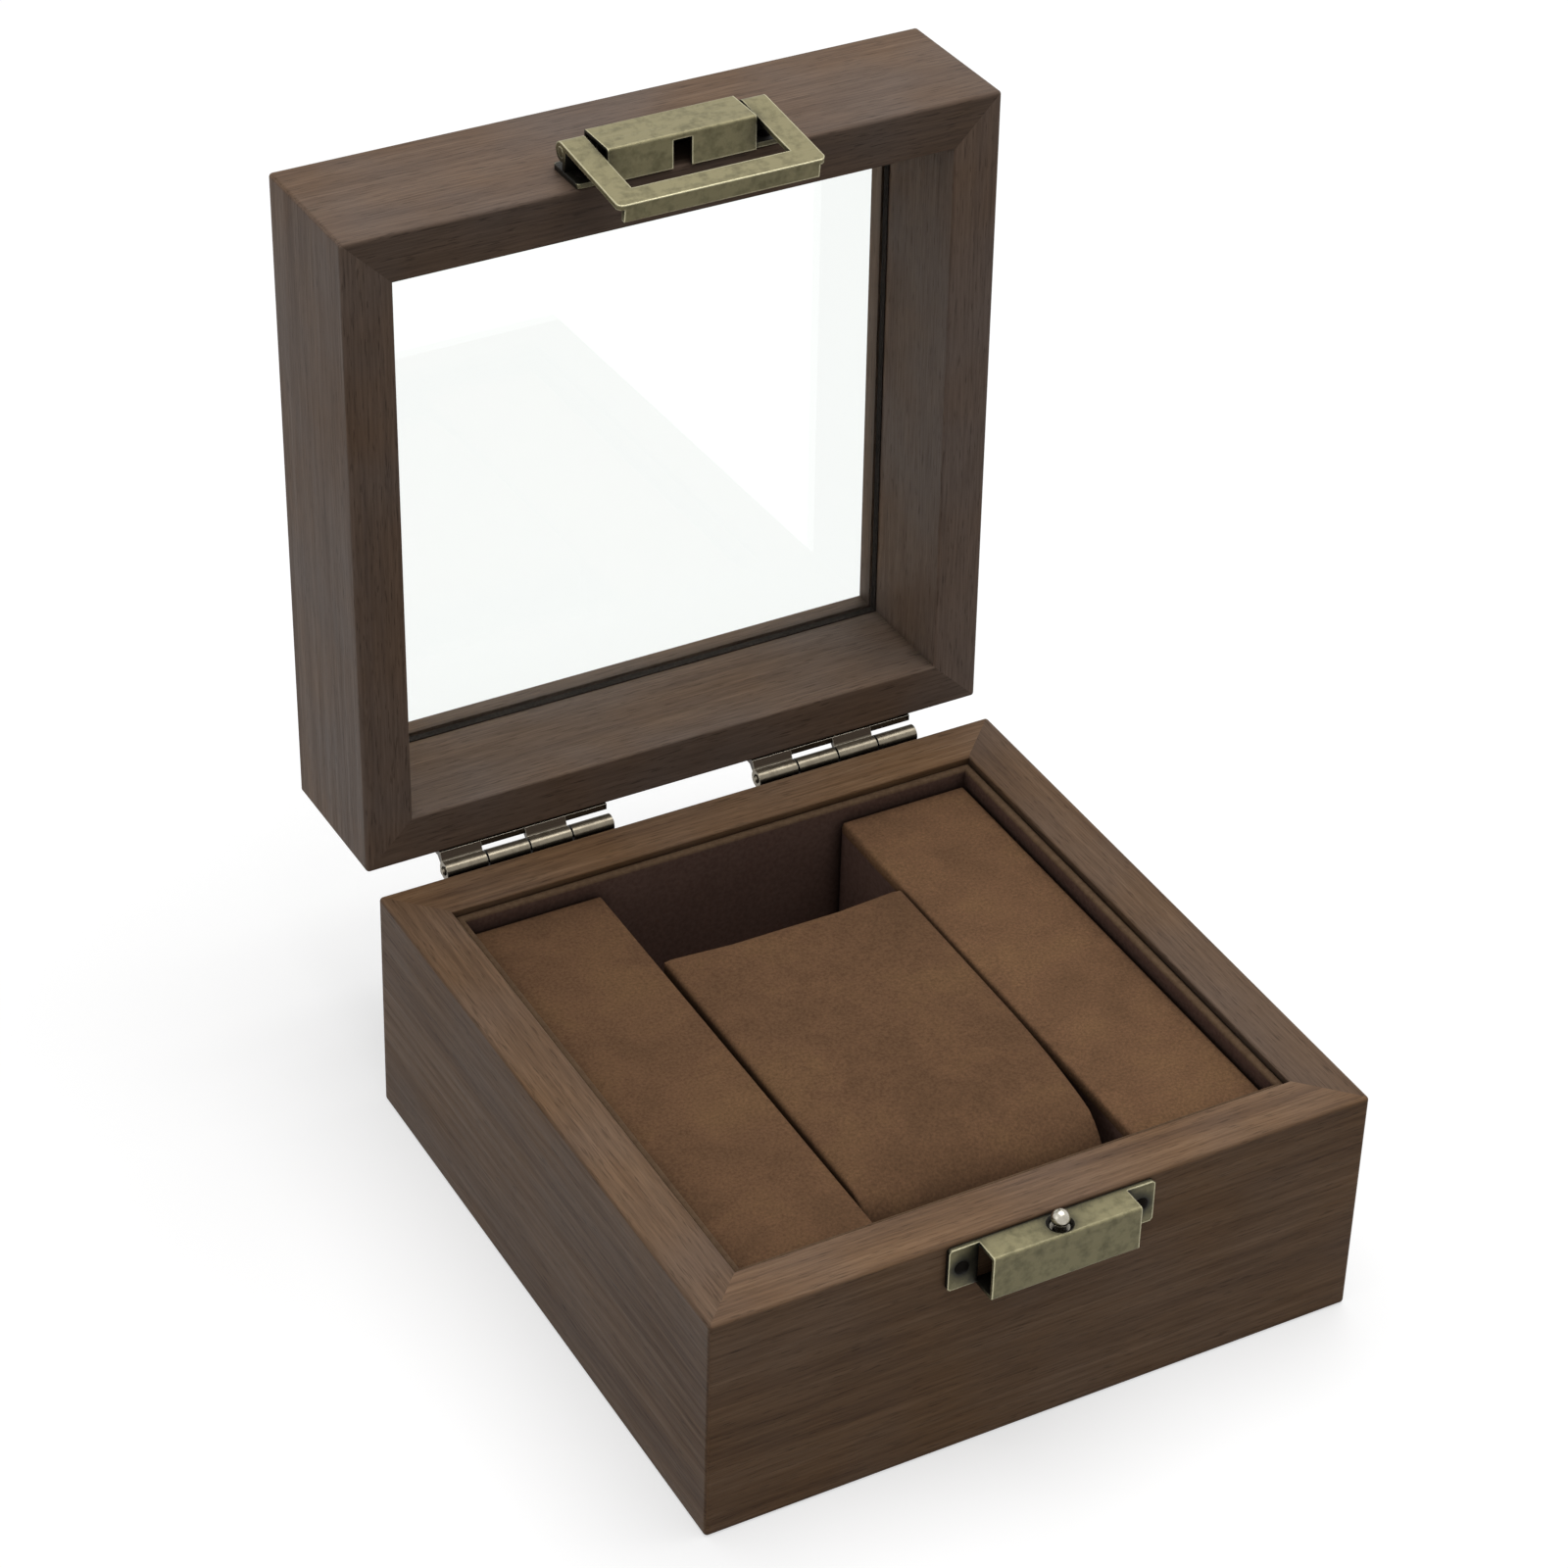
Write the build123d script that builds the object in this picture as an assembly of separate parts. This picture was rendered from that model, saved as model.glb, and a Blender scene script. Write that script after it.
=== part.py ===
from build123d import *
import os
from math import cos, radians, sin

os.makedirs("parts", exist_ok=True)

# Display box for one watch: a deep lower box and a glazed lid, hinged along the back.
# Millimetres. Origin: centre of the underside. +X right, -Y front, +Z up.
# The lid is drawn shut and then swung open about the hinge axis.

# ---- overall sizes ----
box_width = 105.0
box_depth = 105.0
base_height = 38.5
lid_height = 24.8
lid_gap = 0.3            # rim to rim, lid shut
lid_open_angle = 91.2
edge_round = 0.6
rim_round = 0.35
cut_past = 1.0           # how far a cut runs past the face it opens

# ---- lower box ----
wall = 8.2
panel_thickness = 4.0
panel_lap = 4.0          # how far the bottom panel reaches under the walls
panel_clearance = 0.1
felt_thickness = 1.0
liner_thickness = 1.5
liner_below_rim = 1.0
liner_round = 0.6        # folded edge of the covering
floor_thickness = 1.0
floor_clearance = 0.1

# ---- cushions ----
well_width = 41.0        # between the two side pads
pad_below_rim = 3.6
pad_clearance = 0.2
pad_round = 1.2
cover_thickness = 1.0
pillow_length = 65.0
pillow_side_clearance = 0.6
pillow_front_clearance = 1.6
pillow_floor_clearance = 0.3
pillow_above_pads = 0.2
pillow_crown = 0.8
pillow_back_radius = 4.0
pillow_front_radius = 9.0
pillow_bottom_radius = 6.0
pillow_end_thickness = 1.2

# ---- lid ----
lid_rail = 7.7
glass_thickness = 2.0
glass_groove = 2.8       # groove depth in the rails
glass_edge_clearance = 0.2
glass_above_rim = 19.6   # underside of the pane above the lid's rim
gasket_thickness = 1.2
gasket_proud = 0.2

# ---- hinges ----
hinge_length = 28.0
hinge_inset = 11.9       # leaf end to the side face
hinge_back_offset = 2.6  # pin axis behind the back face
hinge_drop = 1.0         # pin axis below the lower rim
knuckle_count = 4
knuckle_radius = 1.4
knuckle_gap = 0.3
leaf_thickness = 1.0
leaf_height = 10.0
leaf_edge_clearance = 0.4
leaf_corner_round = 1.0
hinge_pin_radius = 0.7
hinge_pin_clearance = 0.05
hinge_pin_overhang = 0.4
hinge_pin_chamfer = 0.2
strap_thickness = 0.8
stop_lug_reach = 2.3
stop_lug_thickness = 0.9
stop_lug_angle = 60.0    # below the horizontal, lid open
screw_spacing = 16.0
screws_per_leaf = 2
screw_drop = 5.8         # screw line from the pin axis
screw_head_radius = 1.6
screw_head_depth = 0.7
screw_shank_radius = 0.8
screw_length = 5.6
screw_tip_length = 1.4
screw_clearance = 0.05
screw_slot_width = 0.4
screw_slot_depth = 0.3

# ---- catch on the box and hasp on the lid, both pressed from sheet ----
plate_width = 32.8
plate_thickness = 0.8
hood_width = 23.5
catch_hood_depth = 4.8   # out from the wood
hasp_hood_depth = 5.3
hood_sheet = 0.5
hood_round = 0.4
plate_corner_round = 0.6
catch_top_drop = 0.75    # plate edge below the lower rim
catch_height = 7.1
hasp_rise = 0.05         # plate edge above the lid's rim
hasp_height = 7.65
hasp_hood_margin = 0.6   # plate left above the hasp's hood
hood_overhang = 0.35     # hood below the plate's lower edge, less than its sheet
nail_inset = 2.1
nail_head_radius = 1.1
nail_head_height = 0.5
nail_head_edge = 0.1     # straight edge under the dome
nail_shank_radius = 0.5
nail_length = 6.0
nail_clearance = 0.05
hasp_nail_rise = 2.35    # hasp nails above the plate's lower edge

# ---- loop that drops over the catch ----
loop_width = 32.6
loop_sheet = 0.8
loop_face = 5.0          # outer face at the eyes, out from the wood
loop_lean = 6.3          # near bar towards the wood, feet resting on the plate
loop_side_bar = 3.85
loop_near_bar = 3.7
loop_catch_clearance = 0.3
loop_lip = 2.8
loop_corner_round = 1.0
loop_eye_radius = 1.5
loop_eye_inset = 0.8     # eye to the plate's far edge
loop_pin_radius = 0.8
loop_pin_clearance = 0.06
loop_foot_clearance = 0.02
loop_foot_spare = 0.4    # foot length trimmed off along the plate
loop_foot_width = 0.8
pin_lug_thickness = 0.8
pin_lug_inset = 0.4
pin_lug_height = 2.6
pin_seat_clearance = 0.02
notch_width = 3.0

# ---- sprung ball on the catch ----
ball_radius = 1.35
ball_rise = 0.95         # ball centre above the hood's top
ball_out = 2.45          # ball centre, out from the wood
ball_neck_radius = 0.8
ball_hole_clearance = 0.08
ball_countersink = 2.0
piston_radius = 1.53
piston_height = 1.2
piston_clearance = 0.07
housing_wall = 0.2
housing_floor = 0.4
spring_wire_radius = 0.18
spring_radius = 1.1
spring_turns = 3
spring_end_clearance = 0.02

# ---- worked out from the sizes above ----
front_y = -box_depth / 2
back_y = box_depth / 2
lid_rim_z = base_height + lid_gap
hinge_y = back_y + hinge_back_offset
hinge_z = base_height - hinge_drop
inner_width = box_width - 2 * wall
inner_depth = box_depth - 2 * wall
lid_inner_width = box_width - 2 * lid_rail
lid_inner_depth = box_depth - 2 * lid_rail
lined_width = inner_width - 2 * liner_thickness
lined_depth = inner_depth - 2 * liner_thickness
panel_top = felt_thickness + panel_thickness
liner_top = base_height - liner_below_rim
floor_top = panel_top + floor_thickness
pad_top = base_height - pad_below_rim
hinge_axis = Axis((0, hinge_y, hinge_z), (1, 0, 0))
knuckle_length = (hinge_length - (knuckle_count - 1) * knuckle_gap) / knuckle_count

catch_top = base_height - catch_top_drop
catch_low = catch_top - catch_height
hasp_low = lid_rim_z + hasp_rise
hasp_top = hasp_low + hasp_height
loop_axis_out = loop_face - loop_eye_radius
loop_axis_z = hasp_top - loop_eye_radius - loop_eye_inset
loop_window_low = catch_low - hood_overhang - loop_catch_clearance

LOW = (Align.CENTER, Align.CENTER, Align.MIN)
HIGH = (Align.CENTER, Align.CENTER, Align.MAX)
SAME_PLACE = 0.01        # closer than this counts as the same height or line
SIDES = ("front", "back", "left", "right")
BELOW, ABOVE = -1, 1


def save(node, shape):
    """Write one sub-part as STEP, a group of solids as one compound."""
    if isinstance(shape, list):
        shape = Compound(children=shape)
    export_step(shape, os.path.join("parts", node + ".step"))


def block(x_low, x_high, y_low, y_high, z_low, z_high):
    """Box given by its six faces."""
    size = Box(x_high - x_low, y_high - y_low, z_high - z_low)
    return Pos((x_low + x_high) / 2, (y_low + y_high) / 2, (z_low + z_high) / 2) * size


def side_profile(points, x_low, x_high):
    """Outline of (y, z) points, run along X."""
    outline = make_face(Polyline([(0, y, z) for y, z in points], close=True))
    return Pos(x_low, 0, 0) * extrude(outline, amount=x_high - x_low, dir=(1, 0, 0))


def rod(x_low, x_high, y, z, radius):
    """Cylinder along X."""
    return Pos((x_low + x_high) / 2, y, z) * Rot(0, 90, 0) * Cylinder(radius, x_high - x_low)


def swung_open(shape):
    """Take a lid piece from its shut place to its open one."""
    return shape.rotate(hinge_axis, -lid_open_angle)


# ---- mitred frames ----
def mitre_wedge(side, reach, height):
    """Plan wedge that keeps one side of a mitred frame, cut at 45 degrees from each corner."""
    half = {"front": box_width, "back": box_width, "left": box_depth, "right": box_depth}[side] / 2
    face = {"front": box_depth, "back": box_depth, "left": box_width, "right": box_width}[side] / 2
    outline = Polyline([
        (-half - cut_past, -face - cut_past),
        (half + cut_past, -face - cut_past),
        (half - reach, -face + reach),
        (-half + reach, -face + reach),
    ], close=True)
    turn = {"front": 0, "right": 90, "back": 180, "left": 270}[side]
    return Rot(0, 0, turn) * extrude(make_face(outline), amount=height)


def split_frame(frame, reach, height):
    """The four mitred rails of a frame, by side."""
    return {side: frame & mitre_wedge(side, reach, height) for side in SIDES}


def rounded_rim(frame, z, width, depth, radius):
    """Ease the inner edges of a rim that lies at height z."""
    edges = [
        edge for edge in frame.edges()
        if abs(edge.center().Z - z) < SAME_PLACE
        and abs(edge.center().X) < width / 2 + SAME_PLACE
        and abs(edge.center().Y) < depth / 2 + SAME_PLACE
    ]
    return fillet(edges, radius)


def base_walls():
    body = fillet(Box(box_width, box_depth, base_height, align=LOW).edges(), edge_round)
    body -= Box(inner_width, inner_depth, base_height, align=LOW)
    recess_width = inner_width + 2 * panel_lap
    recess_depth = inner_depth + 2 * panel_lap
    body -= Box(recess_width, recess_depth, panel_top, align=LOW)
    body = rounded_rim(body, base_height, inner_width, inner_depth, rim_round)
    return split_frame(body, wall + cut_past, base_height)


def lid_rails():
    body = fillet(Box(box_width, box_depth, lid_height, align=LOW).edges(), edge_round)
    body -= Box(lid_inner_width, lid_inner_depth, lid_height, align=LOW)
    groove = Box(
        lid_inner_width + 2 * glass_groove,
        lid_inner_depth + 2 * glass_groove,
        gasket_thickness + glass_thickness,
        align=LOW,
    )
    body -= Pos(0, 0, glass_above_rim - gasket_thickness) * groove
    for rim in (0, lid_height):
        body = rounded_rim(body, rim, lid_inner_width, lid_inner_depth, rim_round)
    rails = split_frame(body, lid_rail + cut_past, lid_height)
    return {side: Pos(0, 0, lid_rim_z) * rail for side, rail in rails.items()}


def liner_boards():
    height = liner_top - panel_top
    body = Box(inner_width, inner_depth, height, align=LOW)
    body -= Box(lined_width, lined_depth, height, align=LOW)
    body = fillet(body.edges().group_by(Axis.Z)[-1], liner_round)
    boards = split_frame(body, wall + liner_thickness + cut_past, height)
    return {side: Pos(0, 0, panel_top) * board for side, board in boards.items()}


# ---- flat pieces ----
def bottom_panel():
    width = inner_width + 2 * (panel_lap - panel_clearance)
    depth = inner_depth + 2 * (panel_lap - panel_clearance)
    return Pos(0, 0, felt_thickness) * Box(width, depth, panel_thickness, align=LOW)


def base_felt():
    width = inner_width + 2 * (panel_lap - panel_clearance)
    depth = inner_depth + 2 * (panel_lap - panel_clearance)
    return Box(width, depth, felt_thickness, align=LOW)


def well_floor():
    width = lined_width - 2 * floor_clearance
    depth = lined_depth - 2 * floor_clearance
    return Pos(0, 0, panel_top) * Box(width, depth, floor_thickness, align=LOW)


def glass_pane_size():
    reach = 2 * (glass_groove - glass_edge_clearance)
    return lid_inner_width + reach, lid_inner_depth + reach


def lid_glass():
    width, depth = glass_pane_size()
    return Pos(0, 0, lid_rim_z + glass_above_rim) * Box(width, depth, glass_thickness, align=LOW)


def glass_gasket():
    width, depth = glass_pane_size()
    ring = Box(width, depth, gasket_thickness, align=LOW)
    ring -= Box(
        lid_inner_width - 2 * gasket_proud,
        lid_inner_depth - 2 * gasket_proud,
        gasket_thickness,
        align=LOW,
    )
    return Pos(0, 0, lid_rim_z + glass_above_rim - gasket_thickness) * ring


# ---- cushions ----
def side_pad(hand):
    """Cover and core of one side pad; hand is -1 for the left one and 1 for the right one."""
    inner_x = well_width / 2
    outer_x = lined_width / 2 - pad_clearance
    half_depth = lined_depth / 2 - pad_clearance
    middle = hand * (inner_x + outer_x) / 2
    width = outer_x - inner_x
    height = pad_top - floor_top
    skin = 2 * cover_thickness
    outer = Box(width, 2 * half_depth, height, align=LOW)
    outer = fillet(outer.edges().group_by(Axis.Z)[-1] + outer.edges().filter_by(Axis.Z), pad_round)
    core = Box(width - skin, 2 * half_depth - skin, height - cover_thickness, align=LOW)
    place = Pos(middle, 0, floor_top)
    return place * (outer - core), place * core


def pillow_outline():
    """Side view of the pillow, in Y and Z: low crown, soft front, firmer back."""
    low = floor_top + pillow_floor_clearance
    high = pad_top + pillow_above_pads
    front = -lined_depth / 2 + pillow_front_clearance
    back = front + pillow_length
    sides = Polyline([(0, back, high), (0, back, low), (0, front, low), (0, front, high)])
    crown = ThreePointArc((0, front, high), (0, (front + back) / 2, high + pillow_crown), (0, back, high))
    outline = make_face([sides, crown])
    corners = (
        (back, high, pillow_back_radius),
        (front, high, pillow_front_radius),
        (back, low, pillow_bottom_radius),
        (front, low, pillow_bottom_radius),
    )
    for y, z, radius in corners:
        corner = outline.vertices().sort_by_distance((0, y, z))[0]
        outline = fillet(corner, radius)
    return outline


def pillow():
    """Sleeve, core and two ends of the watch pillow."""
    half = well_width / 2 - pillow_side_clearance
    outline = pillow_outline()
    inside = offset(outline, -cover_thickness)
    run = 2 * (half - pillow_end_thickness)
    start = Pos(-half + pillow_end_thickness, 0, 0)
    core = start * extrude(inside, amount=run, dir=(1, 0, 0))
    sleeve = start * extrude(outline, amount=run, dir=(1, 0, 0)) - core
    end = extrude(outline, amount=pillow_end_thickness, dir=(1, 0, 0))
    return sleeve, core, Pos(-half, 0, 0) * end, Pos(half - pillow_end_thickness, 0, 0) * end


# ---- fasteners ----
def wood_screw(spare=0.0):
    """Countersunk screw, head flush with Z = 0 and its shank down; spare widens it into a hole."""
    head = screw_head_radius + spare
    shank = screw_shank_radius + spare
    length = screw_length + spare
    outline = Polyline([
        (0, 0, 0),
        (head, 0, 0),
        (shank, 0, -screw_head_depth),
        (shank, 0, -length + screw_tip_length),
        (0, 0, -length),
    ], close=True)
    body = revolve(make_face(outline), Axis.Z)
    if spare == 0:
        body -= Box(2 * head, screw_slot_width, screw_slot_depth, align=HIGH)
    return body


def round_nail(spare=0.0):
    """Domed nail, head on Z = 0 and its shank down; spare widens the shank into a hole."""
    shank = Cylinder(nail_shank_radius + spare, nail_length + spare, align=HIGH)
    if spare:
        return shank
    rise = nail_head_height - nail_head_edge
    dome_radius = (nail_head_radius ** 2 + rise ** 2) / (2 * rise)
    head = Cylinder(nail_head_radius, nail_head_height, align=LOW)
    head &= Pos(0, 0, nail_head_height - dome_radius) * Sphere(dome_radius)
    return shank + head


def hinge_centres():
    x = box_width / 2 - hinge_inset - hinge_length / 2
    return (-x, x)


def screw_places(centre_x, level):
    """Where one leaf's screws go, heads outwards at the back; level is BELOW or ABOVE the pin."""
    offsets = [(i - (screws_per_leaf - 1) / 2) * screw_spacing for i in range(screws_per_leaf)]
    z = hinge_z + level * screw_drop
    return [Pos(centre_x + x, back_y + leaf_thickness, z) * Rot(-90, 0, 0) for x in offsets]


def leaf_screws(level, spare=0.0):
    screw = wood_screw(spare)
    return [place * screw for x in hinge_centres() for place in screw_places(x, level)]


def nail_places(z):
    x = plate_width / 2 - nail_inset
    return [Pos(side * x, front_y - plate_thickness, z) * Rot(90, 0, 0) for side in (-1, 1)]


def plate_nails(z, spare=0.0):
    nail = round_nail(spare)
    return [place * nail for place in nail_places(z)]


# ---- hinges ----
def knuckle_span(centre_x, index):
    start = centre_x - hinge_length / 2 + index * (knuckle_length + knuckle_gap)
    return start, start + knuckle_length


def stop_lug(x_low, x_high):
    """Lug on a lid knuckle that meets the lower leaf when the lid is open."""
    thick = stop_lug_thickness
    lug = block(x_low, x_high, -stop_lug_reach, -knuckle_radius / 2, -thick / 2, thick / 2)
    turned = Pos(0, hinge_y, hinge_z) * Rot(stop_lug_angle, 0, 0) * lug
    return turned.rotate(hinge_axis, lid_open_angle)


def hinge_leaf(centre_x, level, first_knuckle):
    """One leaf with every second knuckle; level is BELOW for the box and ABOVE for the lid."""
    inner_edge = -leaf_edge_clearance if level == BELOW else lid_rim_z - hinge_z
    outer_edge = level * leaf_height
    low, high = sorted((inner_edge, outer_edge))
    half = hinge_length / 2
    face = back_y + leaf_thickness
    leaf = block(centre_x - half, centre_x + half, back_y, face, hinge_z + low, hinge_z + high)
    outer_corners = [
        edge for edge in leaf.edges().filter_by(Axis.Y)
        if abs(edge.center().Z - hinge_z - outer_edge) < SAME_PLACE
    ]
    leaf = fillet(outer_corners, leaf_corner_round)
    root = hinge_z + inner_edge
    strap = level * strap_thickness
    for index in range(first_knuckle, knuckle_count, 2):
        x_low, x_high = knuckle_span(centre_x, index)
        leaf += rod(x_low, x_high, hinge_y, hinge_z, knuckle_radius)
        leaf += side_profile([
            (back_y, root),
            (hinge_y - knuckle_radius / 2, hinge_z + level * leaf_edge_clearance),
            (hinge_y - knuckle_radius / 2, hinge_z + level * leaf_edge_clearance + strap),
            (face, root + strap),
            (face, root + 2 * strap),
            (back_y, root + 2 * strap),
        ], x_low, x_high)
        if level == ABOVE:
            leaf += stop_lug(x_low + knuckle_gap, x_high - knuckle_gap)
    bore = hinge_pin_radius + hinge_pin_clearance
    leaf -= rod(centre_x - half - cut_past, centre_x + half + cut_past, hinge_y, hinge_z, bore)
    for place in screw_places(centre_x, level):
        leaf -= place * wood_screw(screw_clearance)
    return leaf


def hinge_pin(centre_x):
    reach = hinge_length / 2 + hinge_pin_overhang
    pin = rod(centre_x - reach, centre_x + reach, hinge_y, hinge_z, hinge_pin_radius)
    return chamfer(pin.edges().filter_by(GeomType.CIRCLE), hinge_pin_chamfer)


# ---- catch and hasp ----
def hooded_plate(z_low, z_high, hood_high, hood_depth):
    """Pressed plate with a raised hood, open at both ends, along its middle."""
    out = front_y - hood_depth
    hood_low = z_low - hood_overhang
    half = hood_width / 2
    plate = block(-plate_width / 2, plate_width / 2, front_y - plate_thickness, front_y, z_low, z_high)
    plate = fillet(plate.edges().filter_by(Axis.Y), plate_corner_round)
    hood = block(-half, half, out, front_y, hood_low, hood_high)
    front_edges = [edge for edge in hood.edges().filter_by(Axis.X) if edge.center().Y < out + SAME_PLACE]
    hood = fillet(front_edges, hood_round)
    inside = block(-half, half, out + hood_sheet, front_y, hood_low + hood_sheet, hood_high - hood_sheet)
    return (plate + hood) - inside


def catch_plate():
    plate = hooded_plate(catch_low, catch_top, catch_top, catch_hood_depth)
    hole = ball_radius + ball_hole_clearance
    centre = Pos(0, front_y - ball_out, catch_top)
    plate -= centre * Cylinder(hole, 2 * hood_sheet)
    sink = Cone(hole, ball_countersink, hood_sheet, align=HIGH)
    plate -= centre * sink
    for nail in plate_nails((catch_low + catch_top) / 2, nail_clearance):
        plate -= nail
    return plate


def hasp_plate():
    hood_high = hasp_top - hasp_hood_margin
    plate = hooded_plate(hasp_low, hasp_top, hood_high, hasp_hood_depth)
    lug_outer = hood_width / 2 - pin_lug_inset
    for side in (-1, 1):
        x_low, x_high = sorted((side * lug_outer, side * (lug_outer - pin_lug_thickness)))
        plate += block(
            x_low, x_high,
            front_y - hasp_hood_depth + hood_sheet, front_y - plate_thickness,
            hood_high - hood_sheet - pin_lug_height, hood_high - hood_sheet,
        )
    reach = hood_width / 2 + cut_past
    plate -= rod(-reach, reach, front_y - loop_axis_out, loop_axis_z, loop_pin_radius + pin_seat_clearance)
    hood_low = hasp_low - hood_overhang
    plate -= block(
        -notch_width / 2, notch_width / 2,
        front_y - hasp_hood_depth + hood_sheet + hood_round, front_y,
        hood_low - cut_past, hood_low + hood_sheet,
    )
    for nail in plate_nails(hasp_low + hasp_nail_rise, nail_clearance):
        plate -= nail
    return plate


def hasp_pin():
    reach = loop_width / 2
    return rod(-reach, reach, front_y - loop_axis_out, loop_axis_z, loop_pin_radius)


def hasp_loop():
    """Frame that swings on the pin and drops over the catch: two side bars, a near bar with a lip."""
    half = loop_width / 2
    face = front_y - loop_face
    back = face + loop_sheet
    low = loop_window_low - loop_near_bar
    frame = block(-half, half, face, back, low, loop_axis_z)
    corners = [edge for edge in frame.edges().filter_by(Axis.Y) if edge.center().Z < low + SAME_PLACE]
    frame = fillet(corners, loop_corner_round)
    lip_half = half - loop_corner_round
    frame += block(-lip_half, lip_half, face, face + loop_lip, low, low + loop_sheet)
    inner_half = half - loop_side_bar
    frame -= block(
        -inner_half, inner_half,
        face - cut_past, back + cut_past,
        loop_window_low, loop_axis_z + cut_past,
    )
    axis_y = front_y - loop_axis_out
    plate_face = front_y - plate_thickness - loop_foot_clearance
    foot_back = plate_face + loop_foot_spare
    foot_high = loop_axis_z - loop_eye_radius + loop_sheet
    for side in (-1, 1):
        x_low, x_high = sorted((side * inner_half, side * half))
        frame += rod(x_low, x_high, axis_y, loop_axis_z, loop_eye_radius)
        frame += block(x_low, x_high, face, foot_back, foot_high - loop_foot_width, foot_high)
    bore = loop_pin_radius + loop_pin_clearance
    frame -= rod(-half - cut_past, half + cut_past, axis_y, loop_axis_z, bore)
    frame = frame.rotate(Axis((0, axis_y, loop_axis_z), (1, 0, 0)), loop_lean)
    trim_low = loop_axis_z - 2 * loop_eye_radius
    return frame - block(-half, half, plate_face, front_y, trim_low, loop_axis_z + loop_eye_radius)


# ---- sprung ball ----
def piston_top():
    return catch_top - hood_sheet


def housing_low():
    return catch_low - hood_overhang + hood_sheet


def detent_ball():
    """Ball, neck and piston in one piece, pushed up by the spring."""
    centre_z = catch_top + ball_rise
    neck_low = piston_top() - piston_height
    body = Pos(0, 0, centre_z) * Sphere(ball_radius)
    body += Pos(0, 0, neck_low) * Cylinder(ball_neck_radius, centre_z - neck_low, align=LOW)
    body += Pos(0, 0, neck_low) * Cylinder(piston_radius, piston_height - spring_end_clearance, align=LOW)
    return Pos(0, front_y - ball_out, 0) * body


def ball_housing():
    bore = piston_radius + piston_clearance
    low = housing_low()
    height = piston_top() - low
    tube = Cylinder(bore + housing_wall, height, align=LOW)
    tube -= Pos(0, 0, housing_floor) * Cylinder(bore, height, align=LOW)
    return Pos(0, front_y - ball_out, low) * tube


def detent_spring():
    low = housing_low() + housing_floor + spring_wire_radius + spring_end_clearance
    high = piston_top() - piston_height - spring_wire_radius - spring_end_clearance
    path = Helix((high - low) / spring_turns, high - low, spring_radius)
    section = Plane(origin=path @ 0, z_dir=path % 0) * Circle(spring_wire_radius)
    coil = sweep(section, path=path, is_frenet=True)
    return Pos(0, front_y - ball_out, low) * coil


# ---- assemble and write ----
walls = base_walls()
for cutter in leaf_screws(BELOW, screw_clearance):
    walls["back"] -= cutter
for cutter in plate_nails((catch_low + catch_top) / 2, nail_clearance):
    walls["front"] -= cutter

rails = lid_rails()
for cutter in leaf_screws(ABOVE, screw_clearance):
    rails["back"] -= cutter
for cutter in plate_nails(hasp_low + hasp_nail_rise, nail_clearance):
    rails["front"] -= cutter

for side in SIDES:
    save("base_" + side + "_wall", walls[side])
    save("lid_" + side + "_rail", swung_open(rails[side]))
for side, board in liner_boards().items():
    save("liner_" + side, board)

save("bottom_panel", bottom_panel())
save("base_felt", base_felt())
save("well_floor", well_floor())
save("lid_glass", swung_open(lid_glass()))
save("glass_gasket", swung_open(glass_gasket()))

for name, hand in (("left", -1), ("right", 1)):
    cover, core = side_pad(hand)
    save(name + "_pad_cover", cover)
    save(name + "_pad_core", core)

pillow_sleeve, pillow_core, pillow_left_end, pillow_right_end = pillow()
save("pillow_cover", pillow_sleeve)
save("pillow_core", pillow_core)
save("pillow_left_end", pillow_left_end)
save("pillow_right_end", pillow_right_end)

for name, centre in zip(("left", "right"), hinge_centres()):
    save(name + "_hinge_base_leaf", hinge_leaf(centre, BELOW, 1))
    save(name + "_hinge_lid_leaf", swung_open(hinge_leaf(centre, ABOVE, 0)))
    save(name + "_hinge_pin", hinge_pin(centre))
save("hinge_base_screws", leaf_screws(BELOW))
save("hinge_lid_screws", [swung_open(screw) for screw in leaf_screws(ABOVE)])

save("catch_plate", catch_plate())
save("catch_nails", plate_nails((catch_low + catch_top) / 2))
save("detent_ball", detent_ball())
save("detent_spring", detent_spring())
save("ball_housing", ball_housing())
save("hasp_plate", swung_open(hasp_plate()))
save("hasp_nails", [swung_open(nail) for nail in plate_nails(hasp_low + hasp_nail_rise)])
save("hasp_pin", swung_open(hasp_pin()))
save("hasp_loop", swung_open(hasp_loop()))
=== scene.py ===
import bpy
import math
from mathutils import Matrix, Quaternion, Vector


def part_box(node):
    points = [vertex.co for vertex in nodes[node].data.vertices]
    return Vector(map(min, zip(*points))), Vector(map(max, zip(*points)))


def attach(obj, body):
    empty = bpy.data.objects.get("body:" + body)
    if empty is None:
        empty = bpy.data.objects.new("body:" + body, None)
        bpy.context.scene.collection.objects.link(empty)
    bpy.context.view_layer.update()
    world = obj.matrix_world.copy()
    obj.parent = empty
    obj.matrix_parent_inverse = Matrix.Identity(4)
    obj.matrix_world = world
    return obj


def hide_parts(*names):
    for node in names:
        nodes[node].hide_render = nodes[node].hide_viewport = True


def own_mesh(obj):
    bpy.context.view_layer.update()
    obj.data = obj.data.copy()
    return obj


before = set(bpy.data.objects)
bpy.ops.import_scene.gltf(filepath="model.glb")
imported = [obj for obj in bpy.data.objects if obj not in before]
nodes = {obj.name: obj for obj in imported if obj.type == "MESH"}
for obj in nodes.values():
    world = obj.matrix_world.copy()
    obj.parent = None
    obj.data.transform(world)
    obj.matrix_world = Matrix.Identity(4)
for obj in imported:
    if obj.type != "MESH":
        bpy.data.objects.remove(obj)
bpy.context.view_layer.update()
mm = 0.001
noiseLow, noiseHigh = 0.3, 0.7    # where nearly all of a noise texture's values lie
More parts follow.
